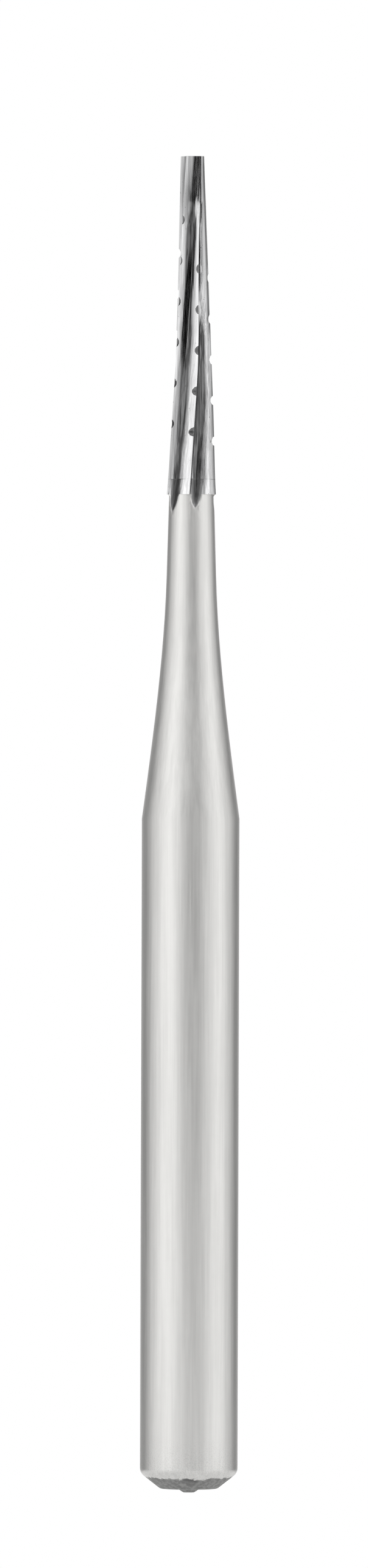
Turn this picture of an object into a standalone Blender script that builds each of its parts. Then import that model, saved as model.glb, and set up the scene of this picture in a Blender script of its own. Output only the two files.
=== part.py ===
"""Dental bur with a tapered, cross-cut fissure head on a friction-grip shank.

Two solids: a tungsten carbide head, and a steel body that carries the ends of the blades, the neck and the
shank. The axis is Z with the tip up, z = 0 is the flat end of the shank, and the front is -Y.
"""
import math

import bmesh
import bpy
from mathutils import Matrix, Vector

MM = 0.001

# Shank, a friction grip of standard diameter
SHANK_RADIUS = 0.80 * MM
SHANK_TOP = 10.96 * MM
CHAMFER_TOP = 0.26 * MM
CHAMFER_ANGLE = 52.0
CORNER_ROUND = 0.16 * MM
END_ROUND = 0.10 * MM
NUB_RADIUS = 0.13 * MM
NUB_HEIGHT = 0.06 * MM
NUB_ROOT = 0.10 * MM
NUB_HOLLOW = ((1.0, 0.0), (0.3, 0.25), (0.0, 0.6))
NUB_FACE = 0.7

# Neck, a long hollow flare that ends in a slim taper under the blades
FLARE_LENGTH = 3.99 * MM
FLARE_START_ANGLE = 7.6
SLIM_RADIUS = 0.405 * MM
SLIM_LENGTH = 1.315 * MM
SLIM_TAPER = 1.6

# Head, from the square ends of the blades to the tip
HEAD_LENGTH = 5.535 * MM
BLADE_RADIUS = 0.404 * MM
TIP_RADIUS = 0.196 * MM
ROOT_SWELL = 0.013 * MM
ROOT_SWELL_LENGTH = 0.50 * MM
STEEL_ROOT_LENGTH = 0.255 * MM
RUNOUT_LENGTH = 0.34 * MM
RUNOUT_MARGIN = 0.14 * MM
RUNOUT_POWER = 1.9
SMALLEST_MOUTH = 0.22

# Blades: the turn of the cutting edge at the blade's end, how much further back its land reaches there, how
# far the flute behind it runs out into the neck, and its number of notches. The second blade cuts at the
# middle of the front, and the next one has a wide land that narrows on the way up.
BLADES = (
    (-78.0, 0.0, 0.30 * MM, 6),
    (-5.0, 0.0, 0.31 * MM, 5),
    (73.0, 17.0, 0.25 * MM, 5),
    (142.0, 5.0, 0.30 * MM, 5),
    (212.0, 0.0, 0.32 * MM, 6),
)
WIDE_LAND_END = 0.35

# Stations of the tooth form along the head. Behind each cutting edge come the land and its heel, a narrow
# strip, the foot of a steep wall, the end of the flute's floor and the root of the rake face. A place is an
# angle behind the cutting edge, and a radius is a share of the head's radius there.
STATION_NAMES = ("along", "helix", "heel", "heel_radius", "strip", "strip_radius",
                 "wall", "wall_radius", "floor", "floor_radius", "root", "root_radius")
STATIONS = (
    (0.000, 0.0, 17.5, 0.948, 24.5, 0.920, 50.5, 0.780, 67.5, 0.860, 69.6, 0.908),
    (0.063, 3.3, 19.0, 0.930, 24.0, 0.905, 52.5, 0.750, 68.6, 0.830, 70.3, 0.885),
    (0.112, 6.0, 20.5, 0.910, 24.3, 0.895, 52.5, 0.720, 68.3, 0.800, 70.5, 0.880),
    (0.166, 9.0, 19.5, 0.895, 22.5, 0.880, 43.0, 0.700, 65.0, 0.735, 71.3, 0.915),
    (0.293, 16.8, 19.0, 0.860, 21.0, 0.840, 37.3, 0.650, 60.5, 0.666, 71.5, 0.900),
    (0.347, 20.3, 20.0, 0.820, 22.0, 0.800, 31.5, 0.700, 57.5, 0.630, 70.8, 0.865),
    (0.383, 22.5, 20.5, 0.795, 22.5, 0.775, 30.0, 0.696, 54.1, 0.604, 69.9, 0.820),
    (0.472, 25.0, 18.5, 0.745, 20.0, 0.725, 28.3, 0.627, 44.4, 0.533, 68.2, 0.751),
    (0.562, 25.8, 17.0, 0.715, 19.0, 0.690, 26.5, 0.610, 35.1, 0.485, 66.4, 0.672),
    (0.652, 27.0, 12.5, 0.723, 14.5, 0.694, 19.2, 0.621, 23.4, 0.410, 61.9, 0.522),
    (0.743, 30.0, 6.0, 0.824, 7.3, 0.790, 11.5, 0.657, 14.0, 0.420, 53.3, 0.443),
    (0.831, 34.0, 3.0, 0.920, 3.7, 0.895, 5.5, 0.800, 8.0, 0.620, 42.5, 0.514),
    (0.921, 40.0, 2.2, 0.950, 2.9, 0.920, 4.5, 0.800, 7.0, 0.640, 21.0, 0.577),
    (1.000, 46.0, 2.2, 0.950, 2.9, 0.920, 4.5, 0.800, 7.0, 0.640, 13.0, 0.600),
)

# Two blades change their form on the way up, each time over a stretch of the head's length. The front one is
# ground low and flat towards the tip. The next one gets a wide land again, and at the tip only a shallow step.
CHANGES = (
    (1, 0.78, 0.87, {"edge": -8.2, "edge_radius": 0.892, "heel": -0.4, "heel_radius": 0.777,
                     "strip": 3.5, "strip_radius": 0.735, "wall": 8.4, "wall_radius": 0.691,
                     "floor": 13.8, "floor_radius": 0.655, "root": 21.9, "root_radius": 0.616}),
    (2, 0.45, 0.60, {"heel": 60.0, "heel_radius": 0.955, "strip": 62.0, "strip_radius": 0.93,
                     "wall": 62.4, "wall_radius": 0.90, "floor": 63.3, "floor_radius": 0.86,
                     "root": 68.0, "root_radius": 0.78}),
    (2, 0.78, 0.87, {"wall": 62.9, "wall_radius": 0.92, "floor": 64.0, "floor_radius": 0.895,
                     "root": 65.7, "root_radius": 0.85}),
)

# Roundings at the root of the rake face, at the end of the floor and at the foot of the wall, as shares of the
# two sides that meet there
ROOT_REACH = (0.50, 0.14)
FLOOR_REACH = (0.16, 0.22)
WALL_REACH = (0.15, 0.12)

# Cross-cut notches, ground at one height step from blade to blade
NOTCH_PITCH = 0.667 * MM
FIRST_NOTCH = 1.02 * MM
NOTCH_DEPTH = 0.042 * MM
NOTCH_WHEEL_RADIUS = 0.095 * MM
NOTCH_BACK = 0.20 * MM
NOTCH_FRONT = 0.06 * MM

# Fineness of the mesh
LAND_POINTS = 3
ROOT_POINTS = 4
FLOOR_END_POINTS = 4
WALL_POINTS = 3
HEAD_RINGS = 36
ROOT_RINGS = 3
RUNOUT_RINGS = 8
BLEND_RINGS = 4
FLARE_POINTS = 12
ROUND_POINTS = 4
NOTCH_SIDES = 14
SHARP_ANGLE = 28.0
MERGE_DISTANCE = 1e-7

# Derived heights
BLADE_END = SHANK_TOP + FLARE_LENGTH + SLIM_LENGTH
SEAM = BLADE_END + STEEL_ROOT_LENGTH
TIP = BLADE_END + HEAD_LENGTH
JOIN = BLADE_END - RUNOUT_LENGTH - RUNOUT_MARGIN
FLUTE_POINTS = ROOT_POINTS + FLOOR_END_POINTS + WALL_POINTS + 2
POINTS_PER_BLADE = FLUTE_POINTS + LAND_POINTS + 3
SIDES = POINTS_PER_BLADE * len(BLADES)


def clear_scene():
    for thing in list(bpy.data.objects):
        bpy.data.objects.remove(thing, do_unlink=True)


def make_collection(name):
    group = bpy.data.collections.new(name)
    bpy.context.scene.collection.children.link(group)
    return group


def make_material(name, colour, roughness):
    """A metal in one colour."""
    material = bpy.data.materials.new(name)
    material.use_nodes = True
    shader = material.node_tree.nodes["Principled BSDF"]
    shader.inputs["Base Color"].default_value = (*colour, 1.0)
    shader.inputs["Roughness"].default_value = roughness
    shader.inputs["Metallic"].default_value = 1.0
    return material


def polar(turn, radius):
    """A point about the axis, turned in degrees from the front towards +X."""
    angle = math.radians(turn)
    return Vector((radius * math.sin(angle), -radius * math.cos(angle)))


def turn_of(point):
    return math.degrees(math.atan2(point.x, -point.y))


def turned_between(start, end, share):
    """The point at a share of the turn from one point to the next, with the radius changing evenly."""
    turn = (turn_of(end) - turn_of(start) + 180.0) % 360.0 - 180.0
    return polar(turn_of(start) + turn * share, start.length + (end.length - start.length) * share)


def hermite(start, end, start_slope, end_slope, share):
    """A cubic between two values; the slopes are per whole interval."""
    a = share * share * (3.0 - 2.0 * share)
    b = share * (1.0 - share) ** 2
    c = share * share * (share - 1.0)
    return start + (end - start) * a + start_slope * b + end_slope * c


def station_slope(column, number):
    """The slope of a column at a station, from its neighbours on both sides."""
    before = STATIONS[max(number - 1, 0)]
    after = STATIONS[min(number + 1, len(STATIONS) - 1)]
    return (after[column] - before[column]) / (after[0] - before[0])


def tooth_form(z):
    """The tooth's angles and radii at a height, read smoothly between the stations."""
    along = (z - BLADE_END) / HEAD_LENGTH
    number = 0
    while number < len(STATIONS) - 2 and along > STATIONS[number + 1][0]:
        number += 1
    lower, upper = STATIONS[number], STATIONS[number + 1]
    gap = upper[0] - lower[0]
    share = min(max((along - lower[0]) / gap, 0.0), 1.0)
    form = {}
    for column, name in enumerate(STATION_NAMES):
        form[name] = hermite(lower[column], upper[column], station_slope(column, number) * gap,
                             station_slope(column, number + 1) * gap, share)
    if along < 0.0:
        form["helix"] = lower[1] + station_slope(1, 0) * along
    return form


def head_radius(z):
    """Radius of the ground blank: a straight taper that swells a little over its last part."""
    above = z - BLADE_END
    radius = BLADE_RADIUS + (TIP_RADIUS - BLADE_RADIUS) * above / HEAD_LENGTH
    swell = max(0.0, 1.0 - above / ROOT_SWELL_LENGTH)
    return radius + ROOT_SWELL * swell * swell


def neck_radius(z):
    """Radius of the neck, from the shank's hollow flare to the slim taper under the blades."""
    slim_start = SHANK_TOP + FLARE_LENGTH
    slim_slope = math.tan(math.radians(SLIM_TAPER))
    if z >= slim_start:
        return SLIM_RADIUS - (z - slim_start) * slim_slope
    start_slope = math.tan(math.radians(FLARE_START_ANGLE))
    share = (z - SHANK_TOP) / FLARE_LENGTH
    return hermite(SHANK_RADIUS, SLIM_RADIUS, -start_slope * FLARE_LENGTH, -slim_slope * FLARE_LENGTH, share)


def rounded_corner(before, corner, after, reach_before, reach_after, count):
    """Points of a parabola that rounds a corner, from a share of one side to a share of the other."""
    start = corner.lerp(before, reach_before)
    end = corner.lerp(after, reach_after)
    points = []
    for number in range(count):
        share = number / (count - 1)
        points.append(start * (1.0 - share) ** 2 + corner * 2.0 * share * (1.0 - share) + end * share * share)
    return points


def crossing(outer, inner, radius):
    """Share of the way from an outer to an inner point at which a straight line crosses a circle."""
    way = inner - outer
    a = way.length_squared
    b = outer.dot(way)
    c = outer.length_squared - radius * radius
    return (-b - math.sqrt(max(b * b - a * c, 0.0))) / a


def blade_form(number, z):
    """The tooth form of one blade at a height."""
    form = tooth_form(z)
    form["edge"] = 0.0
    form["edge_radius"] = 1.0
    along = (z - BLADE_END) / HEAD_LENGTH
    for changed_blade, start, end, values in CHANGES:
        if changed_blade == number:
            share = hermite(0.0, 1.0, 0.0, 0.0, min(max((along - start) / (end - start), 0.0), 1.0))
            for name, value in values.items():
                form[name] += (value - form[name]) * share
    return form


def cutting_edge(number, z):
    """The point of a blade's cutting edge at a height."""
    form = blade_form(number, z)
    return polar(BLADES[number][0] + form["helix"] - form["edge"], head_radius(z) * form["edge_radius"])


def blade_corners(z):
    """For each blade: the edge before its flute, root, floor, wall, strip, heel and its own edge."""
    radius = head_radius(z)
    along = (z - BLADE_END) / HEAD_LENGTH
    corners = []
    for number, (edge_turn, wider, _, _) in enumerate(BLADES):
        extra = wider * min(max(1.0 - along / WIDE_LAND_END, 0.0), 1.0)
        pitch = (edge_turn - BLADES[number - 1][0]) % 360.0
        form = blade_form(number, z)
        turn = edge_turn + form["helix"]
        stretch = (pitch - form["strip"] - extra) / (360.0 / len(BLADES) - form["strip"])
        row = [cutting_edge((number - 1) % len(BLADES), z)]
        for name in ("root", "floor", "wall"):
            back = form["strip"] + extra + (form[name] - form["strip"]) * stretch
            row.append(polar(turn - back, radius * form[name + "_radius"]))
        for name in ("strip", "heel"):
            row.append(polar(turn - extra - form[name], radius * form[name + "_radius"]))
        row.append(cutting_edge(number, z))
        corners.append(row)
    return corners


def mouth_places():
    """For each blade, where the neck's circle crosses the rake face and the wall at the blades' ends."""
    limit = neck_radius(BLADE_END)
    places = []
    for edge_before, root, _, wall, strip, _, _ in blade_corners(BLADE_END):
        rake_place = crossing(edge_before, root.lerp(edge_before, ROOT_REACH[0]), limit)
        places.append((rake_place, crossing(strip, wall, limit)))
    return places


def blade_section(z):
    """The star-shaped section of the head at a height, blade after blade with the turn rising.

    Each flute is a straight rake face, a flat floor, a back and a steep wall below the strip, rounded where they
    meet. One point on the rake face and one on the wall lie on the neck's circle at the blades' ends, and move
    to the middle of their straights over the steel root.
    """
    above = min((z - BLADE_END) / STEEL_ROOT_LENGTH, 1.0)
    points = []
    for corners, (rake_place, wall_place) in zip(blade_corners(z), mouth_places()):
        edge_before, root, floor, wall, strip, heel, edge = corners
        rake_place += (0.5 - rake_place) * above
        wall_place += (0.5 - wall_place) * above
        points.append(edge_before.lerp(root.lerp(edge_before, ROOT_REACH[0]), rake_place))
        points += rounded_corner(edge_before, root, floor, *ROOT_REACH, ROOT_POINTS)
        points += rounded_corner(root, floor, wall, *FLOOR_REACH, FLOOR_END_POINTS)
        points += rounded_corner(floor, wall, strip, *WALL_REACH, WALL_POINTS)
        points.append(strip.lerp(wall, wall_place * (1.0 - WALL_REACH[1])))
        points += [strip, heel]
        for step in range(LAND_POINTS):
            points.append(turned_between(heel, edge, (step + 1) / (LAND_POINTS + 1)))
        points.append(edge)
    return points


def neck_section_at_blades():
    """The section just under the blades' ends: the same flutes, with all that stands proud of the neck cut away."""
    limit = neck_radius(BLADE_END)
    points = []
    for number, point in enumerate(blade_section(BLADE_END)):
        inside = 0 < number % POINTS_PER_BLADE < FLUTE_POINTS - 1
        points.append(point if inside else point.normalized() * limit)
    return points


def unwound_turns(points):
    """The turn of each point, kept rising from the first."""
    turns = [turn_of(points[0])]
    for point in points[1:]:
        turns.append(turns[-1] + (turn_of(point) - turns[-1] + 180.0) % 360.0 - 180.0)
    return turns


def at_place(values, place):
    """A value read between the entries of a list."""
    number = min(int(place), len(values) - 2)
    return values[number] + (values[number + 1] - values[number]) * (place - number)


def run_out_mouth(radii, limit, middle):
    """First and last place along a flute's section that lie below the neck's surface."""
    places = []
    for numbers in (range(len(radii)), range(len(radii) - 1, -1, -1)):
        numbers = list(numbers)
        place = float(middle)
        for outer, inner in zip(numbers, numbers[1:]):
            if radii[inner] < limit:
                share = (radii[outer] - limit) / (radii[outer] - radii[inner])
                place = outer + (inner - outer) * min(max(share, 0.0), 1.0)
                break
        places.append(place)
    first, last = places
    spare = SMALLEST_MOUTH * (len(radii) - 1) - (last - first)
    if spare > 0.0:
        first = max(first - spare / 2.0, 0.0)
        last = min(last + spare / 2.0, len(radii) - 1.0)
    return first, last


def neck_section(z):
    """The neck where the flutes run out: each floor rises to the surface and its mouth closes to a point."""
    top = neck_section_at_blades()
    limit = neck_radius(BLADE_END)
    radius = neck_radius(z)
    twist = tooth_form(z)["helix"] - tooth_form(BLADE_END)["helix"]
    turns = unwound_turns(top)
    new_turns = []
    new_radii = []
    for number, (_, _, run_out, _) in enumerate(BLADES):
        first = number * POINTS_PER_BLADE
        flute_turns = turns[first:first + FLUTE_POINTS]
        radii = [point.length for point in top[first:first + FLUTE_POINTS]]
        deepest = radii.index(min(radii))
        rise = (limit - radii[deepest]) * min((BLADE_END - z) / run_out, 1.0) ** RUNOUT_POWER
        raised = [r + rise + (radius - limit) for r in radii]
        start, end = run_out_mouth(raised, radius, deepest)
        for step in range(FLUTE_POINTS):
            place = start + (end - start) * step / (FLUTE_POINTS - 1)
            inside = 0 < step < FLUTE_POINTS - 1
            new_turns.append(at_place(flute_turns, place))
            new_radii.append(min(at_place(raised, place), radius) if inside else radius)
        new_turns += [None] * (POINTS_PER_BLADE - FLUTE_POINTS)
        new_radii += [radius] * (POINTS_PER_BLADE - FLUTE_POINTS)
    new_turns.append(new_turns[0] + 360.0)
    turns.append(turns[0] + 360.0)
    for number in range(len(BLADES)):
        start = number * POINTS_PER_BLADE + FLUTE_POINTS - 1
        end = (number + 1) * POINTS_PER_BLADE
        for place in range(start + 1, end):
            share = (turns[place] - turns[start]) / (turns[end] - turns[start])
            new_turns[place] = new_turns[start] + (new_turns[end] - new_turns[start]) * share
    return [polar(turn + twist, r) for turn, r in zip(new_turns, new_radii)]


def add_ring(mesh, points, z):
    return [mesh.verts.new((point.x, point.y, z)) for point in points]


def bridge(mesh, lower, upper):
    """Side faces between two rings of equal count, with triangles where the rings share a point."""
    count = len(lower)
    for place in range(count):
        beyond = (place + 1) % count
        corners = [lower[place], lower[beyond], upper[beyond], upper[place]]
        face = [corner for number, corner in enumerate(corners) if corner not in corners[:number]]
        if len(face) > 2:
            mesh.faces.new(face)


def arc(centre_x, centre_z, radius, start, end, count):
    """Points of an arc in the profile plane, with angles in degrees from +X."""
    points = []
    for number in range(count + 1):
        angle = math.radians(start + (end - start) * number / count)
        points.append((centre_x + radius * math.cos(angle), centre_z + radius * math.sin(angle)))
    return points


def shank_profile():
    """The turned outline, from the neck under the flutes down the outside to the nub on the axis."""
    profile = [(neck_radius(JOIN), JOIN)]
    slim_start = SHANK_TOP + FLARE_LENGTH
    for number in range(FLARE_POINTS + 1):
        z = slim_start - FLARE_LENGTH * number / FLARE_POINTS
        profile.append((neck_radius(z), z))
    # the chamfer line falls inwards from the shank and meets the flat end
    slope = math.radians(CHAMFER_ANGLE)
    corner = (SHANK_RADIUS, CHAMFER_TOP)
    foot = (SHANK_RADIUS - CHAMFER_TOP * math.tan(slope), 0.0)
    # rounding between the shank and the chamfer
    set_back = CORNER_ROUND * math.tan(slope / 2.0)
    profile += arc(SHANK_RADIUS - CORNER_ROUND, corner[1] + set_back, CORNER_ROUND, 0.0, -CHAMFER_ANGLE, ROUND_POINTS)
    # rounding between the chamfer and the flat end
    flat_turn = math.radians(90.0 - CHAMFER_ANGLE)
    set_back = END_ROUND * math.tan(flat_turn / 2.0)
    profile += arc(foot[0] - set_back, END_ROUND, END_ROUND, -CHAMFER_ANGLE, -90.0, ROUND_POINTS)
    # hollow root and rounded end of the nub
    profile += [(NUB_RADIUS + NUB_ROOT * out, -NUB_HEIGHT * down) for out, down in NUB_HOLLOW]
    profile += [(NUB_RADIUS * NUB_FACE, -NUB_HEIGHT), (0.0, -NUB_HEIGHT)]
    return profile


def turned_mesh(name, profile, group):
    """A profile turned about Z by a Screw modifier, as a plain mesh."""
    outline = bpy.data.meshes.new(name)
    outline.from_pydata([(x, 0.0, z) for x, z in profile], [(n, n + 1) for n in range(len(profile) - 1)], [])
    guide = bpy.data.objects.new(name, outline)
    group.objects.link(guide)
    screw = guide.modifiers.new("turn", "SCREW")
    screw.axis = "Z"
    screw.steps = SIDES
    screw.render_steps = SIDES
    screw.use_merge_vertices = True
    screw.merge_threshold = MERGE_DISTANCE
    turned = bpy.data.meshes.new_from_object(guide.evaluated_get(bpy.context.evaluated_depsgraph_get()))
    bpy.data.objects.remove(guide, do_unlink=True)
    return turned


def finish_mesh(mesh, name, material):
    """Turns a bmesh into a mesh with outward faces, smooth but for its ground edges."""
    bmesh.ops.recalc_face_normals(mesh, faces=mesh.faces)
    data = bpy.data.meshes.new(name)
    mesh.to_mesh(data)
    mesh.free()
    data.materials.append(material)
    data.shade_smooth()
    data.set_sharp_from_angle(angle=math.radians(SHARP_ANGLE))
    return data


def steel_shank(group, tools, material):
    """Shank and neck turned by a profile, with the run-out of the flutes and the blades' ends lofted on top."""
    mesh = bmesh.new()
    mesh.from_mesh(turned_mesh("shank_outline", shank_profile(), tools))
    turned_top = [vertex for vertex in mesh.verts if vertex.co.z > JOIN - MERGE_DISTANCE]
    turned_top.sort(key=lambda vertex: turn_of(vertex.co.xy) % 360.0)

    # the turned ring's even spacing turns step by step into the spacing of the flutes' ends
    first_section = neck_section(BLADE_END - RUNOUT_LENGTH)
    section_turns = unwound_turns(first_section)
    step = 360.0 / SIDES
    offset = sum(turn - step * number for number, turn in enumerate(section_turns)) / SIDES
    start = round(offset / step)
    lower = turned_top[start % SIDES:] + turned_top[:start % SIDES]
    for number in range(1, BLEND_RINGS):
        share = number / BLEND_RINGS
        z = JOIN + RUNOUT_MARGIN * share
        share = share * share * (3.0 - 2.0 * share)
        even = [step * (start + place) for place in range(SIDES)]
        points = [polar(a + (b - a) * share, neck_radius(z)) for a, b in zip(even, section_turns)]
        upper = add_ring(mesh, points, z)
        bridge(mesh, lower, upper)
        lower = upper

    for number in range(RUNOUT_RINGS):
        z = BLADE_END - RUNOUT_LENGTH * (1.0 - number / RUNOUT_RINGS)
        upper = add_ring(mesh, neck_section(z), z)
        bridge(mesh, lower, upper)
        lower = upper
    upper = add_ring(mesh, neck_section_at_blades(), BLADE_END)
    bridge(mesh, lower, upper)
    lower = upper

    # square ends of the blades: only what stands proud of the neck gets a new vertex
    upper = []
    for number, (vertex, point) in enumerate(zip(lower, blade_section(BLADE_END))):
        proud = number % POINTS_PER_BLADE >= FLUTE_POINTS
        upper.append(mesh.verts.new((point.x, point.y, BLADE_END)) if proud else vertex)
    bridge(mesh, lower, upper)
    lower = upper
    for number in range(1, ROOT_RINGS + 1):
        z = BLADE_END + STEEL_ROOT_LENGTH * number / ROOT_RINGS
        upper = add_ring(mesh, blade_section(z), z)
        bridge(mesh, lower, upper)
        lower = upper
    mesh.faces.new(lower)

    shank = bpy.data.objects.new("steel_shank", finish_mesh(mesh, "steel_shank", material))
    group.objects.link(shank)
    return shank


def notch_places():
    """Cutting-edge turn, height and radius of each notch, one step lower on each blade further round."""
    front_turn = BLADES[1][0]
    for edge_turn, _, _, count in BLADES:
        for number in range(count):
            z = BLADE_END + FIRST_NOTCH + NOTCH_PITCH * (number - (edge_turn - front_turn) / 360.0)
            yield edge_turn + tooth_form(z)["helix"], z, head_radius(z)


def notch_cutters(tools):
    """Grinding wheels of the cross-cut: short round bars that lie along the tangent at each notch."""
    mesh = bmesh.new()
    for turn, z, radius in notch_places():
        outwards = polar(turn, 1.0).to_3d()
        tangent = Vector((0.0, 0.0, 1.0)).cross(outwards)
        across = (NOTCH_FRONT - NOTCH_BACK) / 2.0
        centre = outwards * (radius - NOTCH_DEPTH + NOTCH_WHEEL_RADIUS) + tangent * across
        centre.z = z
        frame = Matrix((outwards, Vector((0.0, 0.0, 1.0)), tangent)).transposed().to_4x4()
        bmesh.ops.create_cone(mesh, cap_ends=True, segments=NOTCH_SIDES, radius1=NOTCH_WHEEL_RADIUS,
                              radius2=NOTCH_WHEEL_RADIUS, depth=NOTCH_FRONT + NOTCH_BACK,
                              matrix=Matrix.Translation(centre) @ frame)
    bmesh.ops.recalc_face_normals(mesh, faces=mesh.faces)
    data = bpy.data.meshes.new("notch_wheels")
    mesh.to_mesh(data)
    mesh.free()
    wheels = bpy.data.objects.new("notch_wheels", data)
    wheels.hide_render = True
    wheels.display_type = "WIRE"
    tools.objects.link(wheels)
    return wheels


def carbide_head(group, tools, material):
    """The fluted head lofted from the joint to the flat tip, with the cross-cut notches ground into it."""
    mesh = bmesh.new()
    lower = add_ring(mesh, blade_section(SEAM), SEAM)
    mesh.faces.new(list(reversed(lower)))
    for number in range(1, HEAD_RINGS + 1):
        z = SEAM + (TIP - SEAM) * number / HEAD_RINGS
        upper = add_ring(mesh, blade_section(z), z)
        bridge(mesh, lower, upper)
        lower = upper
    mesh.faces.new(lower)
    head = bpy.data.objects.new("carbide_head", finish_mesh(mesh, "carbide_head", material))
    group.objects.link(head)
    notch = head.modifiers.new("cross_cut", "BOOLEAN")
    notch.operation = "DIFFERENCE"
    notch.solver = "EXACT"
    notch.object = notch_cutters(tools)
    return head


def main():
    clear_scene()
    parts = make_collection("dental_bur")
    tools = make_collection("grinding_tools")
    carbide = make_material("tungsten_carbide", (0.42, 0.42, 0.43), 0.22)
    steel = make_material("stainless_steel", (0.66, 0.65, 0.64), 0.30)
    steel_shank(parts, tools, steel)
    carbide_head(parts, tools, carbide)


main()
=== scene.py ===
import math

import bmesh
import bpy
from mathutils import Matrix, Vector


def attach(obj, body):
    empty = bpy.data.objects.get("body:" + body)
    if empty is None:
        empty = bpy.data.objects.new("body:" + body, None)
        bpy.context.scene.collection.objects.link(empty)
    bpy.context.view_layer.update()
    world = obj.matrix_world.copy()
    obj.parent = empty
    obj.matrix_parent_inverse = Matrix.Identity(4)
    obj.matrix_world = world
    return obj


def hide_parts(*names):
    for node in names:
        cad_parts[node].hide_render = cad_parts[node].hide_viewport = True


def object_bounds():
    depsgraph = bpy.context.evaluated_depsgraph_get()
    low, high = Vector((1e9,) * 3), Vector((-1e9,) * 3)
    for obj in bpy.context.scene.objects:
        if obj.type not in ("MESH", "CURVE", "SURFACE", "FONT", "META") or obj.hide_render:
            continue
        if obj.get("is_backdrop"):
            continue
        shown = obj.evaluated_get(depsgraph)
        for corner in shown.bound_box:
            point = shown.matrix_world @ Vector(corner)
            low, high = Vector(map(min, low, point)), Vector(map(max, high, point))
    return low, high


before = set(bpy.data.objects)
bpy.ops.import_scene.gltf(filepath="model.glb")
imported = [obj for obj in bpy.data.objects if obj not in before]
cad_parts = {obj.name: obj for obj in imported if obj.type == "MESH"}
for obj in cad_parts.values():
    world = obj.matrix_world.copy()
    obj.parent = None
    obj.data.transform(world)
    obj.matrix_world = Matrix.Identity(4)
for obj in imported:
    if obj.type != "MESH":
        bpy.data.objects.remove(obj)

bl_info = {
    "name": "Dental Bur",
    "version": (1, 0, 0),
    "blender": (4, 5, 0),
    "location": "3D View > Sidebar > Dental Bur",
    "description": "Dresses the solids of a tapered cross-cut bur in ground carbide and satin steel",
    "category": "Object",
}

# Measures of the solids, in metres: the heights of the blades' end, the joint and the tip, the radii of the blades,
# the tip and the neck, the neck's growth for each metre downwards, and the reach of the flutes into the neck
BLADE_END = 0.016265
SEAM = 0.01652
TIP = 0.0218
BLADE_RADIUS = 0.000404
TIP_RADIUS = 0.000196
NECK_RADIUS = 0.000368
NECK_TAPER = 0.028
RUNOUT_LENGTH = 0.00036

# Welding and shading of the solids' triangles
WELD = 1e-7
FLAT_JOIN = math.radians(60.0)
ANY_SHAPE_JOIN = math.radians(180.0)
SMOOTH_ANGLE = math.radians(28.0)

# Faces of the notches: how much of a wall's normal points up or down at least, how high the floor between the
# walls is at most, and the end of the tip that has no notch
NOTCH_SLOPE = 0.30
NOTCH_FLOOR = 0.00006
NOTCH_FREE_TIP = 0.0001

# Patterns, each with as many of these values as it needs: how far it is drawn out along the bur (a smaller number
# is longer), its density as a multiple of the finish's own lines or streaks, for the pits per metre, and the noise
# levels between which it goes from 0 to 1
GRINDING_LINES = (0.02, 1.0, (0.35, 0.65))
GRINDING_STREAKS = (0.018, 0.4, (0.34, 0.66))
GRINDING_BLOTCHES = (0.4, 0.15)
PITS = (0.7, 24000.0, (0.66, 0.72))
PITTED_BLOTCHES = (0.46, 0.58)
POLISHING_STREAKS = (0.02, 1.0)
POLISHING_BANDS = (0.03, 0.35, (0.35, 0.65))
POLISHING_BLOTCHES = (0.5, 0.25)
BLASTING_GRAIN = 1.6
BLASTING_MOTTLE = (0.45, (0.36, 0.64))

# Depth between the blades, 0 on a land and about 1 on a flute's floor: where the tones of the flutes and of their
# floors, which are painted shade, set in, and where they are full
FLUTE_DEPTH = (0.05, 0.50)
FLOOR_DEPTH = (0.56, 0.88)

# Grinding lines: the level that leaves the tone as it is, their contrast on the lands, what the flutes add to it,
# the roughness from line to line, and the strength and height of their relief as a share of their width
LINE_LEVEL = 0.7
LINE_CONTRAST = 0.16
FLUTE_LINE_CONTRAST = 0.26
LINE_ROUGHNESS = 0.10
LINE_RELIEF = (0.3, 0.04)

# Tones of the broader patterns: what each adds to its lowest tone, and that lowest tone
GRINDING_STREAK_TONE = (0.24, 0.84)
POLISHING_STREAK_TONE = (0.16, 0.92)
POLISHING_BAND_TONE = (0.07, 0.965)
POLISHING_BLOTCH_TONE = (0.06, 0.97)

# Polishing streaks: the roughness from streak to streak, and the strength and height of their relief
STREAK_ROUGHNESS = 0.14
STREAK_RELIEF = (0.35, 0.10)

# Dark and grey parts of the metals, and the painted shade in the flutes' run-out: a cover is how far a part hides
# what is below, and a pair of values is where the part sets in and where it is full
PIT_COLOUR = (0.08, 0.08, 0.08)
PIT_COVER = 0.55
# painted shade in the run-out of the flutes into the neck
RUNOUT_SHADE_COLOUR = (0.08, 0.08, 0.08)
RUNOUT_SHADE_COVER = 0.62
RUNOUT_EDGE = (0.995, 0.96)
SEAM_COLOUR = (0.16, 0.16, 0.16)
SEAM_COVER = 0.5
SEAM_EDGE = (0.000020, 0.000004)
SEAM_GAPS = (0.34, 0.60)
SEAM_WANDER = 0.00004
STAIN_COLOUR = (0.10, 0.10, 0.10)
STAIN_COVER = 0.55
STAIN_MIDDLE = (0.00004, -0.00072, 0.00016)
STAIN_REACH = 0.00022
STAIN_CORE = 0.2
SPRAY_COVER = 0.30
SPRAY_HEIGHT = (0.0011, 0.0002)
SPRAY_GRAIN = (0.46, 0.66)

# Blasted end: the mean height of its ragged line, how far the line wanders, half the width of its edge, its
# darkest and lightest tone, and the roughness and relief that blasting adds
BLAST_HEIGHT = 0.00019
BLAST_WANDER = 0.00016
BLAST_EDGE = 0.000012
BLAST_TONES = (0.70, 1.40)
BLAST_ROUGHNESS = 0.30
BLAST_RELIEF = 8.0

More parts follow.
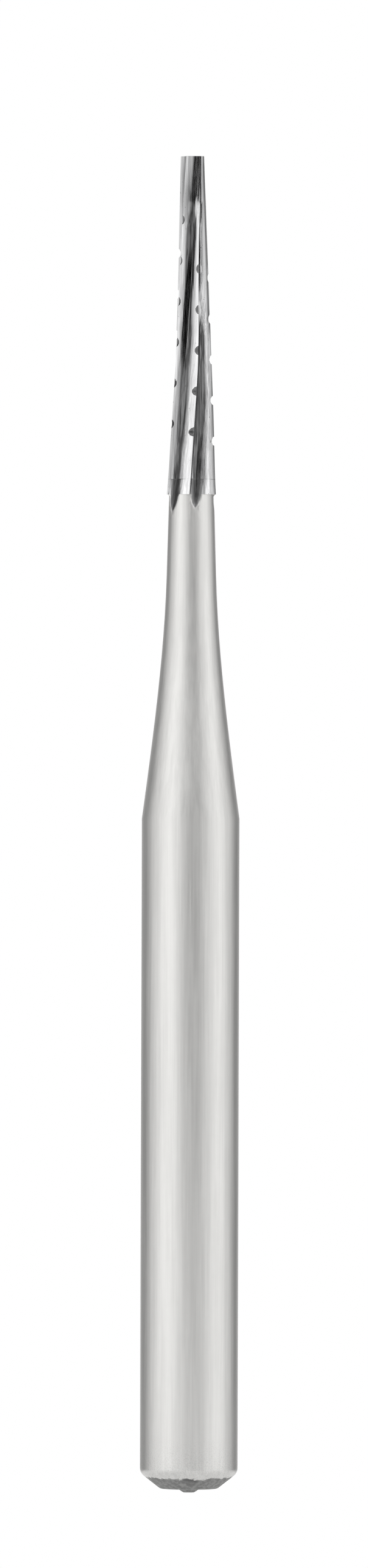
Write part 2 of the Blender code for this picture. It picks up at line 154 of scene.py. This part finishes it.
# Radius at which the depth between the blades counts as 1, as a share of the blades' radius, by the share of the
# blades' length
FULL_DEPTH = (
    (0.0, 0.79), (0.06, 0.76), (0.12, 0.72), (0.25, 0.67), (0.38, 0.62), (0.50, 0.56), (0.62, 0.51),
    (0.69, 0.50), (0.75, 0.51), (0.81, 0.52), (0.88, 0.51), (1.0, 0.48),
)

# Brightness of the light tent round the bur, by the angle in degrees from the camera's side towards +X
TENT_LIGHT = (
    (-180, 1.00), (-160, 0.62), (-146, 0.34), (-130, 0.24), (-120, 0.30), (-110, 0.58), (-100, 0.88),
    (-88, 0.88), (-76, 1.12), (-62, 1.36), (-46, 1.28), (-30, 1.14), (-20, 1.10), (-8, 0.92),
    (6, 0.80), (16, 0.78), (28, 0.68), (38, 0.92), (50, 1.06), (66, 1.20),
    (78, 1.36), (86, 1.15), (94, 0.82), (106, 0.84), (116, 0.58), (128, 0.22), (140, 0.16), (152, 0.42),
    (160, 0.70), (180, 1.00),
)
BACKDROP_EDGE = 165.0

# Dark camera hood in the tent: its middle, half width and softness in degrees, its soft lower and upper edges as
# heights on a unit sphere, and how much of the light it takes
HOOD_MIDDLE = 1.0
HOOD_HALF_WIDTH = 24.0
HOOD_SOFTNESS = 5.0
HOOD_LOWER = (0.020, 0.050)
HOOD_UPPER = (0.195, 0.235)
HOOD_DARKNESS = 0.97

# Floor: its radius and corners, between which radii it fades into the backdrop, how much of the backdrop's white
# it shows in its middle, and its roughness
FLOOR_RADIUS = 0.10
FLOOR_CORNERS = 96
FLOOR_FADE = (0.012, 0.095)
FLOOR_GLOW = 0.50
FLOOR_ROUGHNESS = 0.9

# Framing of the photograph, in pixels: its size, the bur's axis at mid height, the height of the flat end, and
# how many go to a metre. The last value is the height of the camera's sensor, in millimetres
PHOTO_WIDE = 605
PHOTO_HIGH = 2576
PHOTO_AXIS = 313.6
PHOTO_BASE = 2445.5
PIXELS_PER_METRE = 100400.0
SENSOR_HIGH = 36.0


class BurSteel(bpy.types.PropertyGroup):
    """Finish of the steel shank and neck."""

    colour: bpy.props.FloatVectorProperty(
        name="Colour", description="Reflected colour of the satin steel", subtype="COLOR",
        size=3, min=0.0, max=1.0, default=(0.70, 0.695, 0.68))
    end_colour: bpy.props.FloatVectorProperty(
        name="End colour", description="Colour of the blasted chamfer and flat end", subtype="COLOR",
        size=3, min=0.0, max=1.0, default=(0.30, 0.30, 0.295))
    roughness: bpy.props.FloatProperty(
        name="Roughness", description="Mean roughness of the satin finish", min=0.0, max=1.0, default=0.37)
    streak_size: bpy.props.FloatProperty(
        name="Streak width", description="Width of one polishing streak", unit="LENGTH", default=0.00003)


class BurCarbide(bpy.types.PropertyGroup):
    """Finish of the carbide head."""

    colour: bpy.props.FloatVectorProperty(
        name="Colour", description="Reflected colour of the ground carbide", subtype="COLOR",
        size=3, min=0.0, max=1.0, default=(0.78, 0.78, 0.785))
    roughness: bpy.props.FloatProperty(
        name="Roughness", description="Mean roughness of the ground faces", min=0.0, max=1.0, default=0.13)
    line_size: bpy.props.FloatProperty(
        name="Grinding line width", description="Width of one grinding line", unit="LENGTH", default=0.000012)
    # The flute, floor and notch tones are painted shade: the flutes, their floors and the notches darkened
    flute_shade_tone: bpy.props.FloatProperty(
        name="Flute tone", description="Brightness of the flutes beside the lands", min=0.0, max=1.0, default=0.74)
    floor_shade_tone: bpy.props.FloatProperty(
        name="Floor tone", description="Brightness of the flutes' floors beside their walls", min=0.0, max=1.0,
        default=0.22)
    notch_shade_tone: bpy.props.FloatProperty(
        name="Notch tone", description="Brightness inside the notches", min=0.0, max=1.0, default=0.30)
    twist: bpy.props.FloatProperty(
        name="Twist", description="Turn of the grinding lines in radians per metre of the axis", default=150.0)


class BurStudio(bpy.types.PropertyGroup):
    """Floor, light and camera."""

    floor_colour: bpy.props.FloatVectorProperty(
        name="Floor colour", description="Colour of the pale floor", subtype="COLOR",
        size=3, min=0.0, max=1.0, default=(0.86, 0.86, 0.86))
    floor_drop: bpy.props.FloatProperty(
        name="Floor drop", description="Height of the bur's end above the floor", unit="LENGTH", default=0.020)
    camera_distance: bpy.props.FloatProperty(
        name="Camera distance", description="Distance from the camera to the bur", unit="LENGTH", default=0.25)
    camera_roll: bpy.props.FloatProperty(
        name="Camera roll", description="Tilt of the photograph", unit="ROTATION", default=math.radians(0.17))


def new_material(name):
    """A material, its node tree and its Principled shader."""
    material = bpy.data.materials.new(name)
    material.use_nodes = True
    tree = material.node_tree
    return material, tree, tree.nodes["Principled BSDF"]


def add_node(tree, kind, label="", **settings):
    """A node with its label and settings."""
    node = tree.nodes.new(kind)
    node.label = label
    for name, value in settings.items():
        setattr(node, name, value)
    return node


def add_maths(tree, operation, first, second=None, third=None, clamp=False):
    """A Math node whose inputs are sockets or numbers."""
    node = add_node(tree, "ShaderNodeMath", operation=operation, use_clamp=clamp)
    for number, value in enumerate((first, second, third)):
        if value is None:
            continue
        if isinstance(value, (int, float)):
            node.inputs[number].default_value = value
        else:
            tree.links.new(value, node.inputs[number])
    return node.outputs[0]


def add_mix(tree, factor, first, second):
    """A colour mix whose inputs are sockets, numbers or colours."""
    node = add_node(tree, "ShaderNodeMix", data_type="RGBA")
    for socket, value in ((node.inputs[0], factor), (node.inputs[6], first), (node.inputs[7], second)):
        if isinstance(value, bpy.types.NodeSocket):
            tree.links.new(value, socket)
        elif isinstance(value, (int, float)):
            socket.default_value = value
        else:
            socket.default_value = (*value, 1.0)
    return node.outputs[2]


def add_ramp(tree, value, low, high):
    """Rises from 0 at low to 1 at high."""
    node = add_node(tree, "ShaderNodeMapRange", interpolation_type="SMOOTHSTEP")
    tree.links.new(value, node.inputs["Value"])
    node.inputs["From Min"].default_value = low
    node.inputs["From Max"].default_value = high
    return node.outputs["Result"]


def add_curve(tree, value, points, label):
    """A value between 0 and 1 read off a line through points."""
    node = add_node(tree, "ShaderNodeFloatCurve", label=label)
    tree.links.new(value, node.inputs["Value"])
    corners = node.mapping.curves[0].points
    corners[0].location = points[0]
    corners[1].location = points[-1]
    for point in points[1:-1]:
        corners.new(*point)
    for corner in corners:
        corner.handle_type = "VECTOR"
    node.mapping.update()
    return node.outputs["Value"]


def add_noise(tree, vector, scale, detail=3.0, roughness=0.55):
    """Noise between 0 and 1 on a piece's coordinates."""
    node = add_node(tree, "ShaderNodeTexNoise")
    tree.links.new(vector, node.inputs["Vector"])
    node.inputs["Scale"].default_value = scale
    node.inputs["Detail"].default_value = detail
    node.inputs["Roughness"].default_value = roughness
    return node.outputs["Fac"]


def varied(tree, tone, pattern, strength, level):
    """A tone multiplied by a pattern, by level where that is 0 and by level + strength where it is 1."""
    return add_maths(tree, "MULTIPLY", tone, add_maths(tree, "MULTIPLY_ADD", pattern, strength, level))


def tinted(tree, colour, tone):
    """A colour multiplied by a tone."""
    tint = add_mix(tree, 1.0, colour, tone)
    tint.node.blend_type = "MULTIPLY"
    return tint


def height_and_radius(tree, place):
    """Height on the axis and distance from it."""
    parts = add_node(tree, "ShaderNodeSeparateXYZ")
    tree.links.new(place, parts.inputs["Vector"])
    squared = add_maths(tree, "MULTIPLY", parts.outputs["X"], parts.outputs["X"])
    squared = add_maths(tree, "MULTIPLY_ADD", parts.outputs["Y"], parts.outputs["Y"], squared)
    return parts.outputs["Z"], add_maths(tree, "SQRT", squared)


def add_relief(tree, shader, height, label, strength, distance):
    """Fine relief on a shader's surface."""
    bump = add_node(tree, "ShaderNodeBump", label=label)
    tree.links.new(height, bump.inputs["Height"])
    bump.inputs["Strength"].default_value = strength
    bump.inputs["Distance"].default_value = distance
    tree.links.new(bump.outputs["Normal"], shader.inputs["Normal"])


def stretched(tree, vector, along):
    """Coordinates squeezed along the axis, so that a noise on them becomes long streaks."""
    node = add_node(tree, "ShaderNodeMapping", label="stretch along the axis")
    tree.links.new(vector, node.inputs["Vector"])
    node.inputs["Scale"].default_value = (1.0, 1.0, along)
    return node.outputs["Vector"]


def untwisted(tree, vector, height, twist):
    """Coordinates turned back by the helix, so that streaks along the axis follow the flutes."""
    node = add_node(tree, "ShaderNodeVectorRotate", label="follow the helix", rotation_type="Z_AXIS")
    tree.links.new(vector, node.inputs["Vector"])
    tree.links.new(add_maths(tree, "MULTIPLY", height, -twist), node.inputs["Angle"])
    return node.outputs["Vector"]


def streaks_of(tree, vector, pattern, fine):
    """A pattern of streaks, lines or bands between 0 and 1."""
    stretch, density, edges = pattern
    return add_ramp(tree, add_noise(tree, stretched(tree, vector, stretch), fine * density), *edges)


def blotches_of(tree, vector, pattern, fine):
    """Soft blotches between 0 and 1."""
    stretch, density = pattern
    return add_noise(tree, stretched(tree, vector, stretch), fine * density, detail=5.0)


def depth_in_flutes(tree, height, radius):
    """0 on the blades' lands and about 1 on the flutes' floors."""
    taper = (TIP_RADIUS - BLADE_RADIUS) / (TIP - BLADE_END)
    blank = add_maths(tree, "MULTIPLY_ADD", height, taper, BLADE_RADIUS - BLADE_END * taper)
    way_up = add_maths(tree, "DIVIDE", add_maths(tree, "SUBTRACT", height, BLADE_END), TIP - BLADE_END)
    deepest = add_curve(tree, way_up, FULL_DEPTH, "radius at full depth")
    depth = add_maths(tree, "SUBTRACT", 1.0, add_maths(tree, "DIVIDE", radius, blank))
    return add_maths(tree, "DIVIDE", depth, add_maths(tree, "SUBTRACT", 1.0, deepest))


def ground_finish(tree, place, height, radius, finish):
    """Colour, lines, pits and roughness of what the wheels ground: bright lands, and flutes and notches darkened by
    painted shade.
    """
    depth = depth_in_flutes(tree, height, radius)
    flute = add_ramp(tree, depth, *FLUTE_DEPTH)
    deep = add_ramp(tree, depth, *FLOOR_DEPTH)

    fine = 1.0 / finish.line_size
    along = untwisted(tree, place, height, finish.twist)
    lines = streaks_of(tree, along, GRINDING_LINES, fine)
    broad = streaks_of(tree, along, GRINDING_STREAKS, fine)
    blotches = blotches_of(tree, along, GRINDING_BLOTCHES, fine)
    contrast = add_maths(tree, "MULTIPLY_ADD", flute, FLUTE_LINE_CONTRAST, LINE_CONTRAST)
    tone = add_maths(tree, "SUBTRACT", lines, LINE_LEVEL)
    tone = add_maths(tree, "MULTIPLY_ADD", tone, contrast, 1.0)
    tone = varied(tree, tone, broad, *GRINDING_STREAK_TONE)
    tone = varied(tree, tone, add_maths(tree, "SUBTRACT", broad, 0.5), deep, 1.0)
    # painted shade: darker in the flutes, darker still on their floors and inside the notches
    tone = varied(tree, tone, flute, finish.flute_shade_tone - 1.0, 1.0)
    tone = varied(tree, tone, deep, finish.floor_shade_tone - 1.0, 1.0)
    notch = add_node(tree, "ShaderNodeAttribute", label="faces of the notches", attribute_name="notch")
    tone = varied(tree, tone, notch.outputs["Fac"], finish.notch_shade_tone - 1.0, 1.0)
    ground = tinted(tree, finish.colour, tone)

    stretch, density, edges = PITS
    pit = add_ramp(tree, add_noise(tree, stretched(tree, place, stretch), density, detail=2.0), *edges)
    pit = add_maths(tree, "MULTIPLY", pit, add_ramp(tree, blotches, *PITTED_BLOTCHES))
    colour = add_mix(tree, add_maths(tree, "MULTIPLY", pit, PIT_COVER), ground, PIT_COLOUR)
    rough = add_maths(tree, "MULTIPLY_ADD", lines, LINE_ROUGHNESS, finish.roughness - LINE_ROUGHNESS / 2.0)
    return colour, lines, pit, rough


def satin_colour(tree, finish, streaks, broad, blotches):
    """Lengthwise streaks and bands, and faint stains."""
    tone = add_maths(tree, "MULTIPLY_ADD", streaks, *POLISHING_STREAK_TONE)
    tone = varied(tree, tone, broad, *POLISHING_BAND_TONE)
    tone = varied(tree, tone, blotches, *POLISHING_BLOTCH_TONE)
    return tinted(tree, finish.colour, tone)


def blasted_colour(tree, place, finish, grain, fine):
    """Mottled grey with one darker stain on the chamfer."""
    density, edges = BLASTING_MOTTLE
    mottle = add_ramp(tree, add_noise(tree, place, fine * density, detail=4.0), *edges)
    mottle = add_maths(tree, "MULTIPLY_ADD", grain, 0.5, add_maths(tree, "MULTIPLY", mottle, 0.5))
    dark, light = ([part * share for part in finish.end_colour] for share in BLAST_TONES)
    end = add_mix(tree, mottle, dark, light)
    reach = add_node(tree, "ShaderNodeVectorMath", label="stain on the chamfer", operation="DISTANCE")
    tree.links.new(place, reach.inputs[0])
    reach.inputs[1].default_value = STAIN_MIDDLE
    stain = add_ramp(tree, reach.outputs["Value"], STAIN_REACH, STAIN_CORE * STAIN_REACH)
    return add_mix(tree, add_maths(tree, "MULTIPLY", stain, STAIN_COVER), end, STAIN_COLOUR)


def steel_material(finish, carbide):
    """Satin stainless steel: lengthwise streaks, faint stains, ground flutes with painted shade in them and in their
    run-out, a blasted end and the joint line.
    """
    material, tree, shader = new_material("satin_stainless_steel")
    place = add_node(tree, "ShaderNodeTexCoord").outputs["Object"]
    height, radius = height_and_radius(tree, place)

    fine = 1.0 / finish.streak_size
    stretch, density = POLISHING_STREAKS
    streaks = add_noise(tree, stretched(tree, place, stretch), fine * density)
    broad = streaks_of(tree, place, POLISHING_BANDS, fine)
    blotches = blotches_of(tree, place, POLISHING_BLOTCHES, fine)
    grain = add_noise(tree, place, fine * BLASTING_GRAIN, detail=4.0, roughness=0.7)
    steel = satin_colour(tree, finish, streaks, broad, blotches)

    # the blades' ends and the flutes are ground in one pass with the carbide
    ground, _, _, ground_rough = ground_finish(tree, place, height, radius, carbide)
    neck = add_maths(tree, "MULTIPLY_ADD", height, -NECK_TAPER, NECK_RADIUS + BLADE_END * NECK_TAPER)
    run_out = add_ramp(tree, add_maths(tree, "DIVIDE", radius, neck), *RUNOUT_EDGE)
    run_out = add_maths(tree, "MULTIPLY", run_out, add_maths(tree, "GREATER_THAN", height, BLADE_END - RUNOUT_LENGTH))
    wheel = add_maths(tree, "ADD", run_out, add_maths(tree, "GREATER_THAN", height, BLADE_END), clamp=True)
    # painted shade: the run-out of the flutes into the neck darkened
    ground = add_mix(tree, add_maths(tree, "MULTIPLY", run_out, RUNOUT_SHADE_COVER), ground, RUNOUT_SHADE_COLOUR)
    colour = add_mix(tree, wheel, steel, ground)

    # overspray of the blasting on the last millimetre of the shank
    spray = add_maths(tree, "MULTIPLY", add_ramp(tree, height, *SPRAY_HEIGHT), add_ramp(tree, grain, *SPRAY_GRAIN))
    colour = add_mix(tree, add_maths(tree, "MULTIPLY", spray, SPRAY_COVER), colour, finish.end_colour)

    # blasted end, below a ragged line on the chamfer
    ragged = add_maths(tree, "MULTIPLY_ADD", add_maths(tree, "SUBTRACT", blotches, 0.5), BLAST_WANDER, height)
    blasted = add_ramp(tree, ragged, BLAST_HEIGHT + BLAST_EDGE, BLAST_HEIGHT - BLAST_EDGE)
    colour = add_mix(tree, blasted, colour, blasted_colour(tree, place, finish, grain, fine))

    # joint line with the carbide, wandering and faint in places
    wander = add_maths(tree, "MULTIPLY_ADD", blotches, SEAM_WANDER, -SEAM_WANDER / 2.0)
    from_seam = add_maths(tree, "ABSOLUTE", add_maths(tree, "ADD", add_maths(tree, "SUBTRACT", height, SEAM), wander))
    line = add_maths(tree, "MULTIPLY", add_ramp(tree, from_seam, *SEAM_EDGE), SEAM_COVER)
    line = add_maths(tree, "MULTIPLY", line, add_ramp(tree, blotches, *SEAM_GAPS))
    colour = add_mix(tree, line, colour, SEAM_COLOUR)
    tree.links.new(colour, shader.inputs["Base Color"])

    satin = add_maths(tree, "MULTIPLY_ADD", streaks, STREAK_ROUGHNESS, finish.roughness - STREAK_ROUGHNESS / 2.0)
    rough = add_node(tree, "ShaderNodeMix", label="satin or ground", data_type="FLOAT")
    tree.links.new(wheel, rough.inputs["Factor"])
    tree.links.new(satin, rough.inputs[2])
    tree.links.new(ground_rough, rough.inputs[3])
    rough = add_maths(tree, "ADD", rough.outputs[0], add_maths(tree, "MULTIPLY", blasted, BLAST_ROUGHNESS))
    tree.links.new(rough, shader.inputs["Roughness"])
    shader.inputs["Metallic"].default_value = 1.0

    relief = add_maths(tree, "MULTIPLY_ADD", grain, add_maths(tree, "MULTIPLY", blasted, BLAST_RELIEF), streaks)
    strength, share = STREAK_RELIEF
    add_relief(tree, shader, relief, "streaks and blasting", strength, finish.streak_size * share)
    return material


def carbide_material(finish):
    """Ground carbide: bright lands, painted shade in the flutes and notches, lines along the helix, and pits."""
    material, tree, shader = new_material("ground_tungsten_carbide")
    place = add_node(tree, "ShaderNodeTexCoord").outputs["Object"]
    height, radius = height_and_radius(tree, place)
    colour, lines, pit, rough = ground_finish(tree, place, height, radius, finish)
    tree.links.new(colour, shader.inputs["Base Color"])
    tree.links.new(rough, shader.inputs["Roughness"])
    shader.inputs["Metallic"].default_value = 1.0

    relief = add_maths(tree, "MULTIPLY_ADD", pit, -1.0, lines)
    strength, share = LINE_RELIEF
    add_relief(tree, shader, relief, "grinding lines and pits", strength, finish.line_size * share)
    return material


def mark_notches(mesh):
    """Sets the face attribute "notch", the mask of the notches' painted shade, on the notches' walls, which look up
    or down, and on the floors between.
    """
    layer = mesh.faces.layers.float.new("notch")
    mesh.normal_update()
    walls = set()
    for face in mesh.faces:
        inside = BLADE_END + WELD < face.calc_center_median().z < TIP - NOTCH_FREE_TIP
        if inside and abs(face.normal.z) > NOTCH_SLOPE:
            walls.add(face)
    for face in mesh.faces:
        heights = [vert.co.z for vert in face.verts]
        low = max(heights) - min(heights) < NOTCH_FLOOR
        looks = {other.normal.z > 0.0 for vert in face.verts for other in vert.link_faces if other in walls}
        if face in walls or (low and len(looks) == 2):
            face[layer] = 1.0


def welded_copy(node, name):
    """A CAD node's loose triangles joined into one smooth surface with sharp ground edges."""
    mesh = bmesh.new()
    mesh.from_mesh(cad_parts[node].data)
    mesh.transform(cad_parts[node].matrix_world)
    bmesh.ops.remove_doubles(mesh, verts=mesh.verts, dist=WELD)
    bmesh.ops.join_triangles(mesh, faces=mesh.faces, angle_face_threshold=FLAT_JOIN,
                             angle_shape_threshold=ANY_SHAPE_JOIN)
    mark_notches(mesh)
    data = bpy.data.meshes.new(name)
    mesh.to_mesh(data)
    mesh.free()
    # the loose triangles' own flat normals would spoil the smooth shading
    if "custom_normal" in data.attributes:
        data.attributes.remove(data.attributes["custom_normal"])
    data.shade_smooth()
    data.set_sharp_from_angle(angle=SMOOTH_ANGLE)
    piece = bpy.data.objects.new(name, data)
    bpy.context.scene.collection.objects.link(piece)
    return piece


def dress(node, name, material):
    """The finished piece stands for its solid and takes its place on the root body."""
    piece = welded_copy(node, name)
    piece.data.materials.clear()
    piece.data.materials.append(material)
    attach(piece, "root")
    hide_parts(node)


class BUR_OT_steel_shank(bpy.types.Operator):
    """Make the satin steel shank, neck and blade ends"""

    bl_idname = "bur.steel_shank"
    bl_label = "Steel Shank"

    def execute(self, context):
        material = steel_material(context.scene.bur_steel, context.scene.bur_carbide)
        dress("steel_shank", "satin_shank", material)
        return {"FINISHED"}


class BUR_OT_carbide_head(bpy.types.Operator):
    """Make the ground carbide head"""

    bl_idname = "bur.carbide_head"
    bl_label = "Carbide Head"

    def execute(self, context):
        material = carbide_material(context.scene.bur_carbide)
        dress("carbide_head", "ground_head", material)
        return {"FINISHED"}


def studio_world():
    """A light tent round the bur, with a dark camera hood in front and a white backdrop behind."""
    world = bpy.data.worlds.new("light_tent")
    bpy.context.scene.world = world
    world.use_nodes = True
    tree = world.node_tree
    tent = tree.nodes["Background"]
    ways = add_node(tree, "ShaderNodeSeparateXYZ")
    tree.links.new(add_node(tree, "ShaderNodeTexCoord").outputs["Generated"], ways.inputs["Vector"])
    front = add_maths(tree, "MULTIPLY", ways.outputs["Y"], -1.0)
    turn = add_maths(tree, "ARCTAN2", ways.outputs["X"], front)
    share = add_maths(tree, "MULTIPLY_ADD", turn, 0.5 / math.pi, 0.5)
    points = [(angle / 360.0 + 0.5, light / 2.0) for angle, light in TENT_LIGHT]
    light = add_curve(tree, share, points, "brightness round the bur")
    aside = add_maths(tree, "ABSOLUTE", add_maths(tree, "SUBTRACT", turn, math.radians(HOOD_MIDDLE)))
    hood = add_ramp(tree, aside, math.radians(HOOD_HALF_WIDTH + HOOD_SOFTNESS / 2.0),
                    math.radians(HOOD_HALF_WIDTH - HOOD_SOFTNESS / 2.0))
    hood = add_maths(tree, "MULTIPLY", hood, add_ramp(tree, ways.outputs["Z"], *HOOD_LOWER))
    hood = add_maths(tree, "MULTIPLY", hood, add_ramp(tree, ways.outputs["Z"], HOOD_UPPER[1], HOOD_UPPER[0]))
    lit = add_maths(tree, "MULTIPLY_ADD", hood, -HOOD_DARKNESS, 1.0)
    bright = add_maths(tree, "MULTIPLY", light, 2.0)
    tree.links.new(add_maths(tree, "MULTIPLY", bright, lit), tent.inputs["Strength"])
    tent.inputs["Color"].default_value = (1.0, 1.0, 1.0, 1.0)

    # the backdrop is white to the camera, and to a reflection that looks behind the bur
    white = add_node(tree, "ShaderNodeBackground", label="white backdrop")
    white.inputs["Color"].default_value = (1.0, 1.0, 1.0, 1.0)
    rays = add_node(tree, "ShaderNodeLightPath")
    behind = add_maths(tree, "GREATER_THAN", add_maths(tree, "ABSOLUTE", turn), math.radians(BACKDROP_EDGE))
    mirrored = add_maths(tree, "ADD", rays.outputs["Is Glossy Ray"], rays.outputs["Is Transmission Ray"], clamp=True)
    shown = add_maths(tree, "MULTIPLY_ADD", mirrored, behind, rays.outputs["Is Camera Ray"], clamp=True)
    mix = add_node(tree, "ShaderNodeMixShader")
    tree.links.new(shown, mix.inputs["Fac"])
    tree.links.new(tent.outputs["Background"], mix.inputs[1])
    tree.links.new(white.outputs["Background"], mix.inputs[2])
    tree.links.new(mix.outputs["Shader"], tree.nodes["World Output"].inputs["Surface"])


def seen_rays(tree):
    """1 for what the camera sees, directly or mirrored in metal or through glass."""
    rays = add_node(tree, "ShaderNodeLightPath")
    mirrored = add_maths(tree, "ADD", rays.outputs["Is Glossy Ray"], rays.outputs["Is Transmission Ray"])
    return add_maths(tree, "ADD", mirrored, rays.outputs["Is Camera Ray"], clamp=True)


def studio_floor(studio):
    """A pale round floor below the end of the bur, which fades into the white backdrop at its rim."""
    mesh = bmesh.new()
    bmesh.ops.create_circle(mesh, cap_ends=True, segments=FLOOR_CORNERS, radius=FLOOR_RADIUS)
    bmesh.ops.translate(mesh, verts=mesh.verts, vec=(0.0, 0.0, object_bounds()[0][2] - studio.floor_drop))
    data = bpy.data.meshes.new("floor")
    mesh.to_mesh(data)
    mesh.free()
    floor = bpy.data.objects.new("floor", data)
    bpy.context.scene.collection.objects.link(floor)
    material, tree, shader = new_material("pale_floor")
    shader.inputs["Base Color"].default_value = (*studio.floor_colour, 1.0)
    shader.inputs["Roughness"].default_value = FLOOR_ROUGHNESS
    glow = add_node(tree, "ShaderNodeEmission", label="white backdrop")
    place = add_node(tree, "ShaderNodeTexCoord").outputs["Object"]
    reach = add_node(tree, "ShaderNodeVectorMath", label="distance from the bur", operation="LENGTH")
    tree.links.new(place, reach.inputs[0])
    fade = add_ramp(tree, reach.outputs["Value"], *FLOOR_FADE)
    fade = add_maths(tree, "MULTIPLY_ADD", fade, 1.0 - FLOOR_GLOW, FLOOR_GLOW)
    mix = add_node(tree, "ShaderNodeMixShader")
    tree.links.new(add_maths(tree, "MULTIPLY", fade, seen_rays(tree)), mix.inputs["Fac"])
    tree.links.new(shader.outputs["BSDF"], mix.inputs[1])
    tree.links.new(glow.outputs["Emission"], mix.inputs[2])
    tree.links.new(mix.outputs["Shader"], tree.nodes["Material Output"].inputs["Surface"])
    data.materials.append(material)
    floor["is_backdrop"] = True


def studio_camera(studio):
    """A horizontal camera with a long lens, framed and tilted as the photograph is."""
    camera = bpy.data.cameras.new("camera")
    holder = bpy.data.objects.new("camera", camera)
    bpy.context.scene.collection.objects.link(holder)
    high = PHOTO_HIGH / PIXELS_PER_METRE
    camera.sensor_fit = "VERTICAL"
    camera.sensor_height = SENSOR_HIGH
    camera.lens = SENSOR_HIGH * studio.camera_distance / high
    camera.clip_start = 0.01
    camera.clip_end = 20.0
    across = (PHOTO_WIDE / 2 - PHOTO_AXIS) / PIXELS_PER_METRE
    middle = (PHOTO_BASE - PHOTO_HIGH / 2) / PIXELS_PER_METRE
    place = Matrix.Translation(Vector((across, -studio.camera_distance, middle)))
    holder.matrix_world = place @ Matrix.Rotation(math.pi / 2.0, 4, "X") @ Matrix.Rotation(studio.camera_roll, 4, "Z")
    bpy.context.scene.camera = holder


class BUR_OT_studio(bpy.types.Operator):
    """Make the floor, the light and the camera"""

    bl_idname = "bur.studio"
    bl_label = "Studio"

    def execute(self, context):
        studio = context.scene.bur_studio
        studio_world()
        studio_floor(studio)
        studio_camera(studio)
        context.scene.view_settings.view_transform = "Standard"
        return {"FINISHED"}


class BUR_PT_panel(bpy.types.Panel):
    """Sidebar panel of the dental bur"""

    bl_label = "Dental Bur"
    bl_idname = "BUR_PT_panel"
    bl_space_type = "VIEW_3D"
    bl_region_type = "UI"
    bl_category = "Dental Bur"

    def draw(self, context):
        layout = self.layout
        scene = context.scene
        for settings, operator in ((scene.bur_steel, BUR_OT_steel_shank), (scene.bur_carbide, BUR_OT_carbide_head),
                                   (scene.bur_studio, BUR_OT_studio)):
            box = layout.box()
            for name in settings.bl_rna.properties.keys():
                if name not in ("rna_type", "name"):
                    box.prop(settings, name)
            box.operator(operator.bl_idname)


CLASSES = (BurSteel, BurCarbide, BurStudio, BUR_OT_steel_shank, BUR_OT_carbide_head, BUR_OT_studio, BUR_PT_panel)


def register():
    for kind in CLASSES:
        bpy.utils.register_class(kind)
    bpy.types.Scene.bur_steel = bpy.props.PointerProperty(type=BurSteel)
    bpy.types.Scene.bur_carbide = bpy.props.PointerProperty(type=BurCarbide)
    bpy.types.Scene.bur_studio = bpy.props.PointerProperty(type=BurStudio)


def unregister():
    del bpy.types.Scene.bur_studio
    del bpy.types.Scene.bur_carbide
    del bpy.types.Scene.bur_steel
    for kind in reversed(CLASSES):
        bpy.utils.unregister_class(kind)


def main():
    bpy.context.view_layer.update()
    register()
    bpy.ops.bur.steel_shank()
    bpy.ops.bur.carbide_head()
    bpy.ops.bur.studio()


if __name__ == "__main__":
    main()
